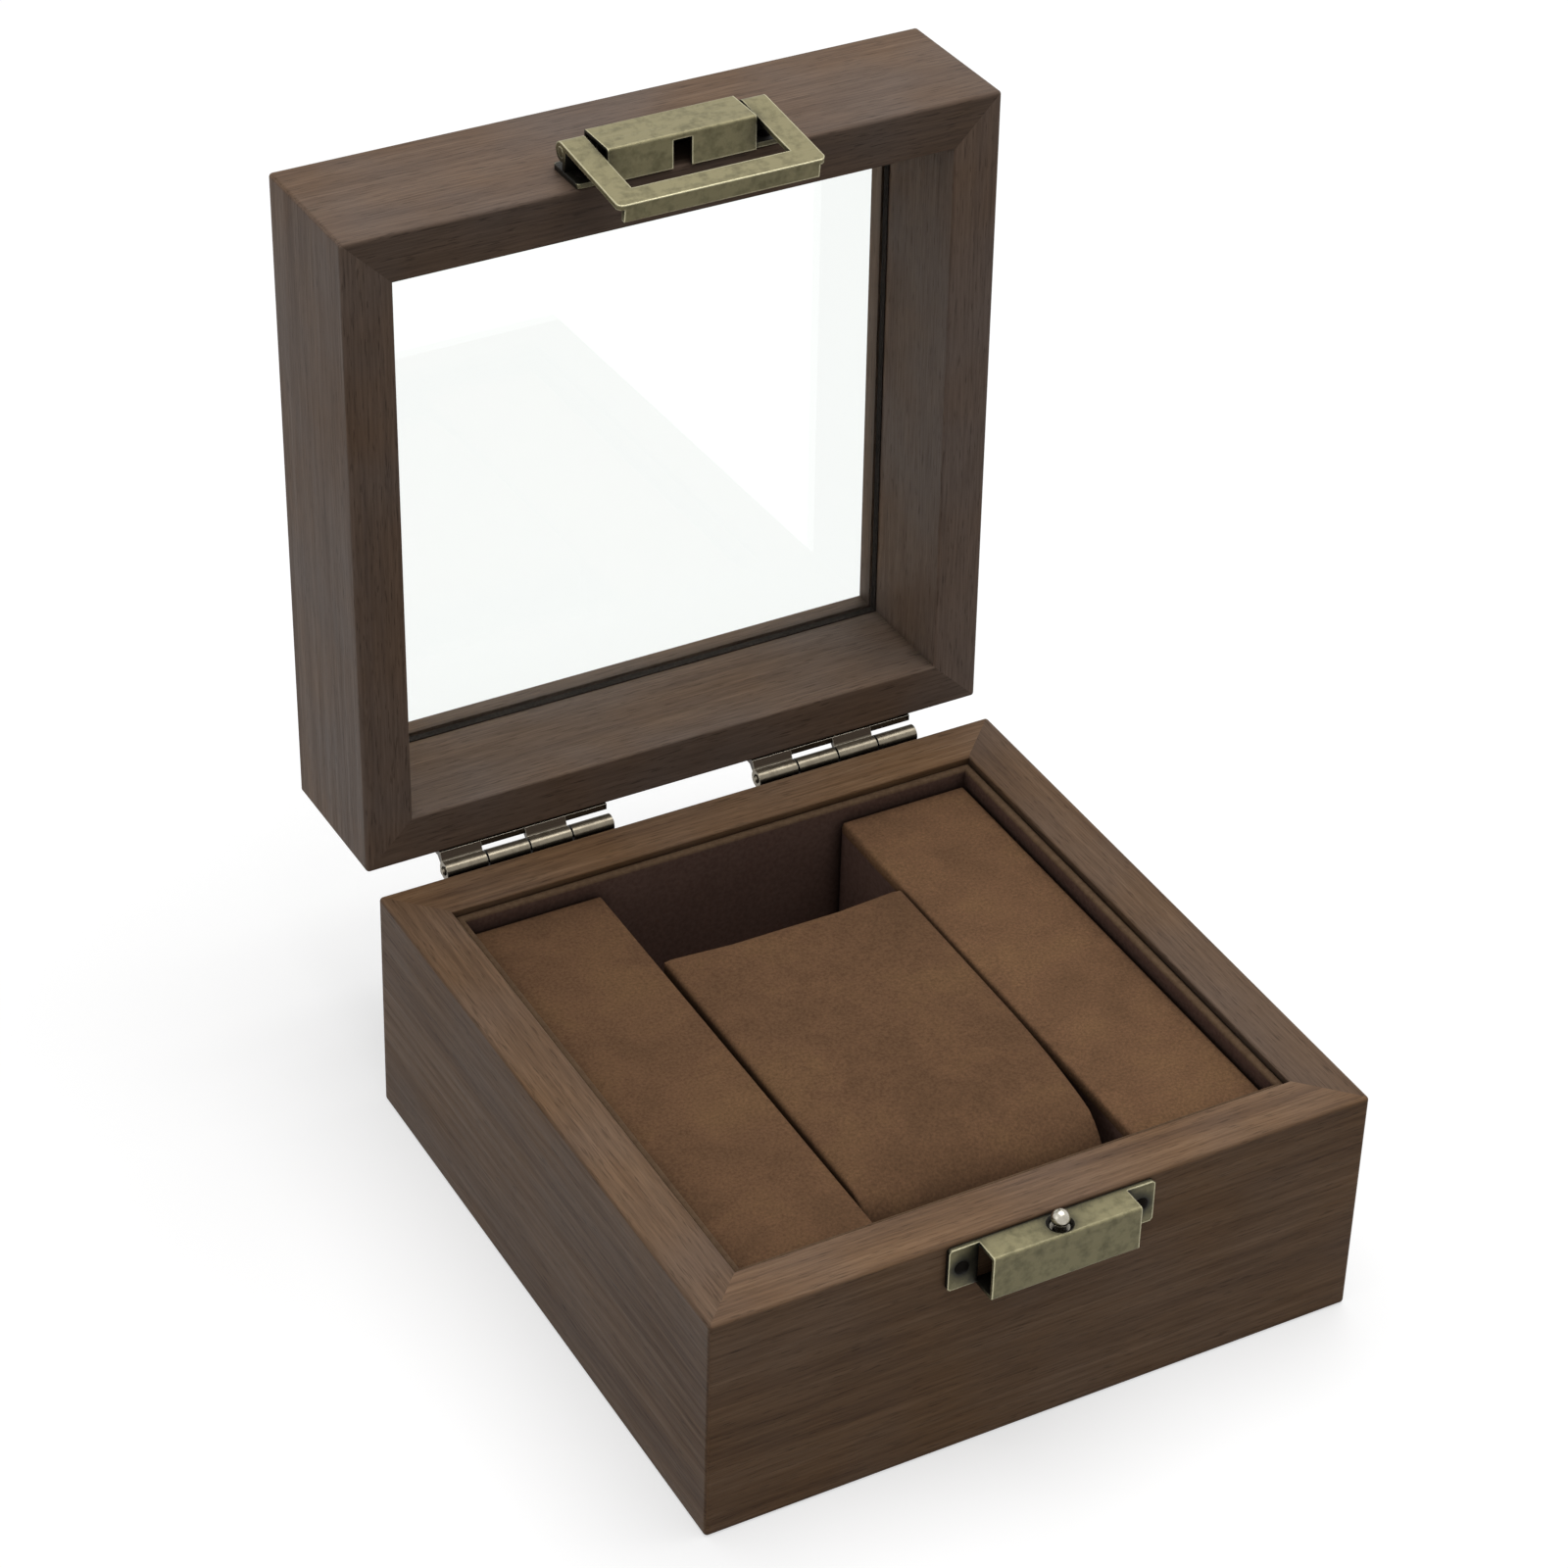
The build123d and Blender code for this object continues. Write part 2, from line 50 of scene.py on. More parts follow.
bpy.context.scene.view_settings.view_transform = "Standard"
print("frame loaded with", len(nodes), "CAD nodes")


def linear(hexCode):
    # sRGB hex to a linear colour
    channels = [int(hexCode[i:i + 2], 16) / 255 for i in (1, 3, 5)]
    channels = [c / 12.92 if c <= 0.04045 else ((c + 0.055) / 1.055) ** 2.4 for c in channels]
    return (*channels, 1.0)


def addNode(tree, kind, settings=None, links=None):
    # a setting goes to the input of that name or number, to a ramp's stops, or to the node itself;
    # a colour mix takes its share at input 0 and its colours at 6 and 7, and gives output 2
    node = tree.nodes.new(kind)
    for key, value in (settings or {}).items():
        if key == "stops":
            while len(node.color_ramp.elements) < len(value):
                node.color_ramp.elements.new(1.0)
            for element, (position, colour) in zip(node.color_ramp.elements, value):
                element.position = position
                element.color = colour
        elif isinstance(key, int) or key in node.inputs:
            node.inputs[key].default_value = value
        else:
            setattr(node, key, value)
    for key, source in (links or {}).items():
        tree.links.new(source, node.inputs[key])
    return node


def newMaterial(name):
    material = bpy.data.materials.new(name)
    material.use_nodes = True
    material.node_tree.nodes.clear()
    return material, material.node_tree


def paint(nodeName, material):
    for slot in nodes[nodeName].material_slots:
        slot.material = material


def paintAll(finishes):
    for material, names in finishes.items():
        for nodeName in names:
            paint(nodeName, material)


def grey(value):
    return (value, value, value, 1.0)


def rampStops(places, *hexCodes):
    return tuple(zip(places, (linear(code) for code in hexCodes)))


def wallShade(tree, distance, share, tone):
    # painted shade: 1 in the open, and down to tone where other surfaces stand within the distance
    hidden, clear = share
    around = addNode(tree, "ShaderNodeAmbientOcclusion", {"samples": 6, "Distance": distance})
    shade = addNode(tree, "ShaderNodeMapRange", {
        "From Min": hidden, "From Max": clear, "To Min": tone, "To Max": 1.0},
        {"Value": around.outputs["AO"]})
    return shade.outputs[0]


def shaded(tree, colour, shade):
    # the colour times the shade
    product = addNode(tree, "ShaderNodeMix", {"data_type": "RGBA", "blend_type": "MULTIPLY", 0: 1.0}, {
        6: colour, 7: shade})
    return product.outputs[2]


view = {
    "place": (-0.26238, -0.43547, 0.43814),
    "looksAt": (-0.00942, 0.03732, 0.07074),
    "roll": 0.904,        # degrees
    "lens": 102.52,       # on a 36 mm sensor
    "shiftX": 0.0625,
    "shiftY": -0.05625,
}


def addCamera():
    camera = bpy.data.objects.new("camera", bpy.data.cameras.new("camera"))
    bpy.context.scene.collection.objects.link(camera)
    camera.data.lens = view["lens"]
    camera.data.sensor_width = 36
    camera.data.shift_x = view["shiftX"]
    camera.data.shift_y = view["shiftY"]
    camera.data.clip_start = 0.01
    aim = Vector(view["looksAt"]) - Vector(view["place"])
    roll = Quaternion((0, 0, 1), math.radians(view["roll"]))
    camera.rotation_mode = "QUATERNION"
    camera.rotation_quaternion = aim.to_track_quat("-Z", "Y") @ roll
    camera.location = view["place"]
    bpy.context.scene.camera = camera


addCamera()
print("camera placed")


studio = {
    "lamps": (
        # name, place, size in metres, watts
        ("topSoftbox", (0.15, 0.05, 1.1), 0.9, 10.0),
        ("leftSoftbox", (-1.1, -0.05, 0.55), 0.7, 1.2),
    ),
    "lampsAimAt": (0, 0.02, 0.05),
    "skyOnObject": 0.32,   # what the surroundings give to matt surfaces
    "skySeen": 1.0,        # what the camera, metal and glass see
    "floorSize": 8.0,
    "floorGap": 0.05 * mm,
    "paperBounce": 0.25,   # how much light the paper throws back up
    "paperSeen": 0.45,     # the share of the seen paper that takes the shadow
    "paperGlow": 0.60,     # the share that doesn't
}


def seenMask(tree):
    # 1 for what the camera, a mirror or a pane shows, 0 for light on matt surfaces
    path = addNode(tree, "ShaderNodeLightPath")
    mirror = addNode(tree, "ShaderNodeMath", {"operation": "MAXIMUM"}, {
        0: path.outputs["Is Camera Ray"], 1: path.outputs["Is Glossy Ray"]})
    both = addNode(tree, "ShaderNodeMath", {"operation": "MAXIMUM"}, {
        0: mirror.outputs[0], 1: path.outputs["Is Transmission Ray"]})
    return both.outputs[0]


def addStudio():
    for name, place, size, watts in studio["lamps"]:
        lamp = bpy.data.lights.new(name, "AREA")
        lamp.energy = watts
        lamp.size = size
        holder = bpy.data.objects.new(name, lamp)
        bpy.context.scene.collection.objects.link(holder)
        holder.location = place
        aim = Vector(studio["lampsAimAt"]) - Vector(place)
        holder.rotation_euler = aim.to_track_quat("-Z", "Y").to_euler()

    world = bpy.data.worlds.new("studioSky")
    bpy.context.scene.world = world
    world.use_nodes = True
    tree = world.node_tree
    tree.nodes.clear()
    dim = addNode(tree, "ShaderNodeBackground", {"Color": grey(1.0), "Strength": studio["skyOnObject"]})
    white = addNode(tree, "ShaderNodeBackground", {"Color": grey(1.0), "Strength": studio["skySeen"]})
    mixed = addNode(tree, "ShaderNodeMixShader", {}, {
        "Fac": seenMask(tree), 1: dim.outputs[0], 2: white.outputs[0]})
    addNode(tree, "ShaderNodeOutputWorld", {}, {"Surface": mixed.outputs[0]})

    bpy.ops.object.select_all(action="DESELECT")
    bpy.ops.mesh.primitive_plane_add(size=studio["floorSize"], location=(0, 0, -studio["floorGap"]))
    floor = bpy.context.object
    floor.name = "paperFloor"
    bpy.ops.object.transform_apply(location=True, rotation=True, scale=True)
    paper, tree = newMaterial("whitePaper")
    seen = seenMask(tree)
    colour = addNode(tree, "ShaderNodeMix", {
        "data_type": "RGBA", 6: grey(studio["paperBounce"]), 7: grey(studio["paperSeen"])}, {0: seen})
    matt = addNode(tree, "ShaderNodeBsdfDiffuse", {}, {"Color": colour.outputs[2]})
    glowShare = addNode(tree, "ShaderNodeMath", {"operation": "MULTIPLY", 1: studio["paperGlow"]}, {0: seen})
    glow = addNode(tree, "ShaderNodeEmission", {"Color": grey(1.0)}, {"Strength": glowShare.outputs[0]})
    surface = addNode(tree, "ShaderNodeAddShader", {}, {0: matt.outputs[0], 1: glow.outputs[0]})
    addNode(tree, "ShaderNodeOutputMaterial", {}, {"Surface": surface.outputs[0]})
    floor.data.materials.append(paper)


addStudio()
print("studio lit")


# Walnut veneer on board, sanded and finished with satin lacquer: fine brown streaks along
# each rail, short dark open pores, a thin grey shine at a low angle, and painted grey sheen in clouds.
veneer = {
    "dark": "#523A26",
    "ground": "#6C5138",
    "light": "#7D6249",
    "paintedSheen": "#6A5D55",
    "stops": (0.34, 0.50, 0.66),
    "layers": {
        # mm along and across the grain, detail, bend
        "figure": ((110, 5.0), 3, 0.6),
        "streak": ((38, 1.2), 4, 0.3),
        "fibre": ((9, 0.35), 3, 0.0),     # finer than this doesn't show
        "pore": ((3.2, 0.26), 1, 0.0),
    },
    "figureShare": 0.55,      # of the colour bands; the streaks make the rest
    "streakShare": 0.45,
    "cloud": 24,              # mm
    "cloudSpan": (0.35, 0.70),
    "paintedSheenLeast": 0.6,         # times the rail's painted sheen, between the clouds
    "cloudShare": 0.25,       # added to the rail's painted sheen in the clouds
    "fibreTones": (0.80, 1.20),
    "poreSpan": (0.60, 0.70),
    "poreTone": 0.66,
    "roughness": 0.46,
    "roughnessSwing": 0.07,
    "shine": 0.06,
    "relief": 0.6,
    "poreDepth": 0.04 * mm,
    "corner": 2.5 * mm,       # painted shade darkens the wood this near to a corner
    "cornerShare": (0.30, 0.80),    # how open a place with all of that is, and one with none
    "cornerTone": 0.45,
}
# turns that lay the grain along a rail; the side rails of the open lid lean back a little
alongX = (0, 0, 0)
alongY = (0, 0, math.radians(90))
upTheLid = (0, math.radians(-88.8), math.radians(90))
# each rail's tone is painted light and shade: lighter or darker as light falls on its faces
rails = {
    # grain direction, where in the veneer it is cut, tone with painted light and shade, painted sheen
    "base_front_wall": (alongX, (0.02, 0.31, 0.11), 1.12, 0.15),
    "base_back_wall": (alongX, (0.17, 0.05, 0.42), 0.97, 0.1),
    "base_left_wall": (alongY, (0.33, 0.12, 0.27), 0.9, 0.25),
    "base_right_wall": (alongY, (0.08, 0.44, 0.35), 0.79, 0.4),
    "lid_front_rail": (alongX, (0.51, 0.22, 0.09), 0.84, 0.65),
    "lid_back_rail": (alongX, (0.26, 0.61, 0.18), 0.93, 0.7),
    "lid_left_rail": (upTheLid, (0.39, 0.07, 0.53), 1.08, 0.75),
    "lid_right_rail": (upTheLid, (0.14, 0.28, 0.47), 1.16, 0.75),
}


def walnutVeneer(name, turn, shift, tone, paintedSheen):
    material, tree = newMaterial(name)
    place = addNode(tree, "ShaderNodeTexCoord").outputs["Object"]
    texture = {}
    for layer, (size, detail, bend) in veneer["layers"].items():
        along, across = (length * mm for length in size)
        space = addNode(tree, "ShaderNodeMapping", {
            "vector_type": "TEXTURE", "Location": shift, "Rotation": turn,
            "Scale": (along, across, across)}, {"Vector": place})
        texture[layer] = addNode(tree, "ShaderNodeTexNoise", {
            "Scale": 1.0, "Detail": detail, "Roughness": 0.6, "Distortion": bend},
            {"Vector": space.outputs[0]}).outputs["Fac"]
    cloud = addNode(tree, "ShaderNodeTexNoise", {
        "Scale": 1 / (veneer["cloud"] * mm), "Detail": 2}, {"Vector": place})
    figure = addNode(tree, "ShaderNodeMath", {"operation": "MULTIPLY", 1: veneer["figureShare"]}, {
        0: texture["figure"]})
    bands = addNode(tree, "ShaderNodeMath", {"operation": "MULTIPLY_ADD", 1: veneer["streakShare"]}, {
        0: texture["streak"], 2: figure.outputs[0]})
    colour = addNode(tree, "ShaderNodeValToRGB", {
        "stops": rampStops(veneer["stops"], veneer["dark"], veneer["ground"], veneer["light"])},
        {"Fac": bands.outputs[0]})
    cloudLow, cloudHigh = veneer["cloudSpan"]
    # painted sheen: grey mixed into the colour in place of the reflected white surroundings
    paintedSheenShare = addNode(tree, "ShaderNodeMapRange", {
        "From Min": cloudLow, "From Max": cloudHigh, "To Min": veneer["paintedSheenLeast"] * paintedSheen,
        "To Max": paintedSheen + veneer["cloudShare"]}, {"Value": cloud.outputs["Fac"]})
    withPaintedSheen = addNode(tree, "ShaderNodeMix", {"data_type": "RGBA", 7: linear(veneer["paintedSheen"])}, {
        0: paintedSheenShare.outputs[0], 6: colour.outputs[0]})
    fibreDark, fibreLight = veneer["fibreTones"]
    fibreShade = addNode(tree, "ShaderNodeMapRange", {
        "From Min": noiseLow, "From Max": noiseHigh, "To Min": fibreDark * tone,
        "To Max": fibreLight * tone}, {"Value": texture["fibre"]})
    poreLow, poreHigh = veneer["poreSpan"]
    poreShade = addNode(tree, "ShaderNodeMapRange", {
        "From Min": poreLow, "From Max": poreHigh, "To Min": 1.0, "To Max": veneer["poreTone"]},
        {"Value": texture["pore"]})
    shade = addNode(tree, "ShaderNodeMath", {"operation": "MULTIPLY"}, {
        0: fibreShade.outputs[0], 1: poreShade.outputs[0]})
    # the grain's shade times the painted shade near corners
    textureAndPaintedShade = addNode(tree, "ShaderNodeMath", {"operation": "MULTIPLY"}, {
        0: shade.outputs[0],
        1: wallShade(tree, veneer["corner"], veneer["cornerShare"], veneer["cornerTone"])})
    bump = addNode(tree, "ShaderNodeBump", {
        "Strength": veneer["relief"], "Distance": veneer["poreDepth"]}, {"Height": shade.outputs[0]})
    roughness = addNode(tree, "ShaderNodeMapRange", {
        "From Min": noiseLow, "From Max": noiseHigh,
        "To Min": veneer["roughness"] + veneer["roughnessSwing"],
        "To Max": veneer["roughness"] - veneer["roughnessSwing"]}, {"Value": texture["streak"]})
    surface = addNode(tree, "ShaderNodeBsdfPrincipled", {"Specular IOR Level": veneer["shine"]}, {
        "Base Color": shaded(tree, withPaintedSheen.outputs[2], textureAndPaintedShade.outputs[0]),
        "Roughness": roughness.outputs[0], "Normal": bump.outputs[0]})
    addNode(tree, "ShaderNodeOutputMaterial", {}, {"Surface": surface.outputs[0]})
    return material


for railName, cut in rails.items():
    paint(railName, walnutVeneer("walnutVeneer_" + railName, *cut))
print("wood veneered")


# Leatherette: embossed brown PVC on cloth, glued to card. Dark, even and nearly matt, with a fine pebble.
leather = {
    "colour": "#69534A",
    "speck": "#5C473F",
    "grain": 0.7,             # mm
    "roughness": 0.6,
    "depth": 0.04 * mm,
    "cornerTone": 0.25,
    # painted shade: the turned edge along the rim, lit from above, is a darker and warmer brown
    "turnedEdge": (36.8 * mm, 37.2 * mm),
    "edgeShadeTint": "#E7EACE",
}
# Wool felt: pressed brown fibre, quite matt, with pale fibres on it.
felt = {
    "colour": "#3B2E26",
    "speck": "#5A4A3F",
    "grain": 0.4,
    "roughness": 0.95,
    "depth": 0.2 * mm,
    "sheen": 0.3,
}
# MDF: pressed wood flour, tan and speckled.
board = {
    "colour": "#9A7B57",
    "speck": "#7C6144",
    "grain": 0.6,
    "roughness": 0.85,
    "depth": 0.05 * mm,
}
# Polyurethane foam: open cells, cream, matt.
foam = {
    "colour": "#D8CDB8",
    "speck": "#B9AC94",
    "grain": 0.8,
    "roughness": 1.0,
    "depth": 0.2 * mm,
}
# Rubber: extruded black strip, matt.
rubber = {
    "colour": "#35302C",
    "speck": "#272320",
    "grain": 0.5,
    "roughness": 0.6,
    "depth": 0.02 * mm,
}
# What the five share.
speckling = {
    "cloud": 25,              # times the grain
    "cloudShare": 0.5,
    "stops": (0.60, 0.92),
    # painted shade near corners, for looks that give a cornerTone
    "corner": 2.5 * mm,
    "cornerShare": (0.30, 0.95),
    "relief": 0.5,
    "specular": 0.02,
}


def speckled(name, look):
    material, tree = newMaterial(name)
    place = addNode(tree, "ShaderNodeTexCoord").outputs["Object"]
    speck = addNode(tree, "ShaderNodeTexNoise", {
        "Scale": 1 / (look["grain"] * mm), "Detail": 3, "Roughness": 0.55}, {"Vector": place})
    cloud = addNode(tree, "ShaderNodeTexNoise", {
        "Scale": 1 / (speckling["cloud"] * look["grain"] * mm), "Detail": 2}, {"Vector": place})
    both = addNode(tree, "ShaderNodeMath", {"operation": "MULTIPLY_ADD", 1: speckling["cloudShare"]}, {
        0: cloud.outputs["Fac"], 2: speck.outputs["Fac"]})
    ramp = addNode(tree, "ShaderNodeValToRGB", {
        "stops": rampStops(speckling["stops"], look["colour"], look["speck"])}, {"Fac": both.outputs[0]})
    colour = ramp.outputs[0]
    # painted shade near corners
    if "cornerTone" in look:
        colour = shaded(tree, colour, wallShade(
            tree, speckling["corner"], speckling["cornerShare"], look["cornerTone"]))
    # painted shade on the turned edge
    if "turnedEdge" in look:
        height = addNode(tree, "ShaderNodeSeparateXYZ", {}, {0: place})
        low, high = look["turnedEdge"]
        turned = addNode(tree, "ShaderNodeMapRange", {"From Min": low, "From Max": high}, {
            "Value": height.outputs["Z"]})
        edged = addNode(tree, "ShaderNodeMix", {
            "data_type": "RGBA", "blend_type": "MULTIPLY", 7: linear(look["edgeShadeTint"])}, {
            0: turned.outputs[0], 6: colour})
        colour = edged.outputs[2]
    bump = addNode(tree, "ShaderNodeBump", {"Strength": speckling["relief"], "Distance": look["depth"]}, {
        "Height": speck.outputs["Fac"]})
    surface = addNode(tree, "ShaderNodeBsdfPrincipled", {
        "Roughness": look["roughness"], "Sheen Weight": look.get("sheen", 0.0),
        "Specular IOR Level": speckling["specular"]}, {"Base Color": colour, "Normal": bump.outputs[0]})
    addNode(tree, "ShaderNodeOutputMaterial", {}, {"Surface": surface.outputs[0]})
    return material


leatherette = speckled("brownLeatherette", leather)
coverings = {
    leatherette: ("liner_front", "liner_back", "liner_left", "liner_right", "well_floor"),
    speckled("woolFelt", felt): ("base_felt",),
    speckled("pressedBoard", board): ("bottom_panel",),
    speckled("openCellFoam", foam): ("left_pad_core", "right_pad_core", "pillow_core"),
    speckled("blackRubber", rubber): ("glass_gasket",),
}
paintAll(coverings)
print("linings covered")


# Antiqued brass: pressed sheet, brass plated, stained dark and then brushed back, which leaves
# olive gold on the flats, pale rubbed edges, and brown stain and painted shade in the corners.
antique = {
    "flat": "#878060",
    "stain": "#625D43",
    "rubbed": "#CFC9A8",
    "stainAndShade": "#1A1812",
    "bare": 0.3,              # share of bare metal on the flats; the rest is stain
    "rubbedBare": 1.0,
    "blotch": 1.8,            # mm
    "brush": (14, 0.22),      # mm along and across the brushing
    "edge": 0.38 * mm,        # how wide the edges are rubbed
    "roughness": 0.45,
    "reach": 5.0 * mm,        # how near something must be to leave its stain and painted shade
    "hidden": (0.80, 1.0),    # how open a place with all of the stain and painted shade is, and one with none
    "specular": 0.2,
}
# Painted shade on the catch, dark round the two nails.
nailLow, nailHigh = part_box("catch_nails")
nailAcross = nailHigh.z - nailLow.z
catchNailShade = {
    "centre": (nailHigh.x - nailAcross / 2, -nailLow.y, (nailLow.z + nailHigh.z) / 2),
    "directions": (1, 1, 1),
    "reach": (1.2 * mm, 2.8 * mm),
    "side": "near",
    "colour": "#22231B",
}
# Nickel-plated steel strip, stained brown: the leaves carry painted shade and the knuckles rub bright.
nickel = {
    "flat": "#857D6D",
    "stain": "#6E6557",
    "rubbed": "#B5AE9F",
    "stainAndShade": "#1D1612",
    "bare": 0.8,
    "rubbedBare": 1.0,
    "blotch": 1.6,
    "brush": (6, 0.25),
    "edge": 0.12 * mm,
    "roughness": 0.28,
    "reach": 3.0 * mm,
    "hidden": (0.30, 0.70),
    "specular": 0.2,
    "spot": {
        # painted shade: past the knuckles, measured from the hinge pin, the leaves are dark brown
        "centre": (0, 55.1 * mm, 37.5 * mm),
        "directions": (0, 1, 1),
        "reach": (1.4 * mm, 1.75 * mm),
        "side": "far",
        "colour": "#3D342B",
    },
}
# Blackened steel nails: dark, with a rubbed crown.
blackened = {
    "flat": "#1C1916",
    "stain": "#141210",
    "rubbed": "#26221C",
    "stainAndShade": "#0D0B09",
    "bare": 0.0,
    "rubbedBare": 0.0,
    "blotch": 0.9,
    "brush": (2, 0.3),
    "edge": 0.15 * mm,
    "roughness": 0.45,
    "reach": 3.0 * mm,
    "hidden": (0.45, 0.92),
    "specular": 0.02,
}
# Polished steel: the ball is bright all over but for a ring of painted shade where it enters the hood.
polished = {
    "flat": "#BDB8AB",
    "stain": "#A49E8F",
    "rubbed": "#D8D4C8",
    "stainAndShade": "#2A261F",
    "bare": 1.0,
    "rubbedBare": 1.0,
    "blotch": 1.5,
    "brush": (3, 0.3),
    "edge": 0.05 * mm,
    "roughness": 0.22,
    "reach": 2.0 * mm,
    "hidden": (0.35, 0.75),
    "specular": 0.2,
}
# What the four metals share.
wear = {
    "stainSpan": (0.45, 0.70),
    "stainMost": 0.8,
    "edgeTurn": (0.99, 0.93),     # cosine of the turn at an edge that starts to rub, and at a bright one
    "smoother": 0.08,             # the brushing makes the roughness vary by these
    "rougher": 0.1,
    "relief": 0.3,
    "brushDepth": 0.02 * mm,
}


def spotted(tree, place, colour, spot):
    # another colour within, or beyond, the reach of a centre and its mirror image
    away = addNode(tree, "ShaderNodeVectorMath", {"operation": "ABSOLUTE"}, {0: place})
    for operation, value in (("SUBTRACT", spot["centre"]), ("MULTIPLY", spot["directions"])):
        away = addNode(tree, "ShaderNodeVectorMath", {"operation": operation, 1: value}, {
            0: away.outputs[0]})
    distance = addNode(tree, "ShaderNodeVectorMath", {"operation": "LENGTH"}, {0: away.outputs[0]})
    near, far = spot["reach"]
    share = addNode(tree, "ShaderNodeMapRange", {"From Min": near, "From Max": far}, {
        "Value": distance.outputs["Value"]})
    fixed, linked = (6, 7) if spot["side"] == "near" else (7, 6)
    mixed = addNode(tree, "ShaderNodeMix", {"data_type": "RGBA", fixed: linear(spot["colour"])}, {
        0: share.outputs[0], linked: colour})
    return mixed.outputs[2]


def brushedMetal(name, look):
    material, tree = newMaterial(name)
    place = addNode(tree, "ShaderNodeTexCoord").outputs["Object"]
    blotch = addNode(tree, "ShaderNodeTexNoise", {
        "Scale": 1 / (look["blotch"] * mm), "Detail": 3, "Roughness": 0.6}, {"Vector": place})
    along, across = (size * mm for size in look["brush"])
    space = addNode(tree, "ShaderNodeMapping", {
        "vector_type": "TEXTURE", "Scale": (along, across, across)}, {"Vector": place})
    brush = addNode(tree, "ShaderNodeTexNoise", {"Scale": 1.0, "Detail": 2}, {"Vector": space.outputs[0]})
    stainLow, stainHigh = wear["stainSpan"]
    stained = addNode(tree, "ShaderNodeMapRange", {
        "From Min": stainLow, "From Max": stainHigh, "To Min": 0.0, "To Max": wear["stainMost"]},
        {"Value": blotch.outputs["Fac"]})
    mottled = addNode(tree, "ShaderNodeMix", {
        "data_type": "RGBA", 6: linear(look["flat"]), 7: linear(look["stain"])}, {0: stained.outputs[0]})
    colour = mottled.outputs[2]
    if "spot" in look:
        colour = spotted(tree, place, colour, look["spot"])
    # the corners keep stain and painted shade, and the edges rub bright
    hollow = addNode(tree, "ShaderNodeAmbientOcclusion", {"samples": 8, "Distance": look["reach"]})
    hidden, clear = look["hidden"]
    exposed = addNode(tree, "ShaderNodeMapRange", {
        "From Min": hidden, "From Max": clear}, {"Value": hollow.outputs["AO"]})
    recessed = addNode(tree, "ShaderNodeMix", {"data_type": "RGBA", 6: linear(look["stainAndShade"])}, {
        0: exposed.outputs[0], 7: colour})
    softened = addNode(tree, "ShaderNodeBevel", {"samples": 6, "Radius": look["edge"]})
    facing = addNode(tree, "ShaderNodeNewGeometry")
    sharp = addNode(tree, "ShaderNodeVectorMath", {"operation": "DOT_PRODUCT"}, {
        0: softened.outputs[0], 1: facing.outputs["True Normal"]})
    dull, bright = wear["edgeTurn"]
    edge = addNode(tree, "ShaderNodeMapRange", {
        "From Min": dull, "From Max": bright, "To Min": 0.0, "To Max": 1.0},
        {"Value": sharp.outputs["Value"]})
    rubbed = addNode(tree, "ShaderNodeMath", {"operation": "MULTIPLY"}, {
        0: edge.outputs[0], 1: exposed.outputs[0]})
    worn = addNode(tree, "ShaderNodeMix", {"data_type": "RGBA", 7: linear(look["rubbed"])}, {
        0: rubbed.outputs[0], 6: recessed.outputs[2]})
    roughness = addNode(tree, "ShaderNodeMapRange", {
        "From Min": noiseLow, "From Max": noiseHigh, "To Min": look["roughness"] - wear["smoother"],
        "To Max": look["roughness"] + wear["rougher"]}, {"Value": brush.outputs["Fac"]})
    bump = addNode(tree, "ShaderNodeBump", {"Strength": wear["relief"], "Distance": wear["brushDepth"]}, {
        "Height": brush.outputs["Fac"], "Normal": softened.outputs[0]})
    bare = addNode(tree, "ShaderNodeMapRange", {"To Min": look["bare"], "To Max": look["rubbedBare"]}, {
        "Value": rubbed.outputs[0]})
    surface = addNode(tree, "ShaderNodeBsdfPrincipled", {"Specular IOR Level": look["specular"]}, {
        "Base Color": worn.outputs[2], "Metallic": bare.outputs[0], "Roughness": roughness.outputs[0],
        "Normal": bump.outputs[0]})
    addNode(tree, "ShaderNodeOutputMaterial", {}, {"Surface": surface.outputs[0]})
    return material


finishes = {
    brushedMetal("antiquedBrass", antique): ("hasp_plate", "hasp_loop", "hasp_pin", "ball_housing"),
    brushedMetal("antiquedBrassCatch", {**antique, "spot": catchNailShade}): ("catch_plate",),
    brushedMetal("nickelPlate", nickel): (
        "left_hinge_base_leaf", "right_hinge_base_leaf", "left_hinge_lid_leaf", "right_hinge_lid_leaf",
        "left_hinge_pin", "right_hinge_pin", "hinge_base_screws", "hinge_lid_screws"),
    brushedMetal("blackenedSteel", blackened): ("catch_nails", "hasp_nails"),
    brushedMetal("polishedSteel", polished): ("detent_ball", "detent_spring"),
}
paintAll(finishes)
print("metal plated")


# Music wire: the detent's coil closes up under the ball.
coil = {"weld": 0.002 * mm, "travel": 1.2 * mm}


def addDetentCoil():
    spring = bpy.data.objects.new("detentCoil", nodes["detent_spring"].data.copy())
    bpy.context.scene.collection.objects.link(spring)
    bpy.ops.object.select_all(action="DESELECT")
    spring.select_set(True)
    bpy.context.view_layer.objects.active = spring
    bpy.ops.object.mode_set(mode="EDIT")
    bpy.ops.mesh.select_all(action="SELECT")
    bpy.ops.mesh.remove_doubles(threshold=coil["weld"])
    bpy.ops.object.mode_set(mode="OBJECT")
    bpy.ops.object.shade_smooth()
    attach(spring, "base")
    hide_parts("detent_spring")
    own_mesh(spring)


addDetentCoil()
print("detent coil set")


# Float glass: 2 mm, clear, with a faint green in its thickness.
glass = {"body": "#FBFEFC", "shadow": "#F6FAF7", "index": 1.5}


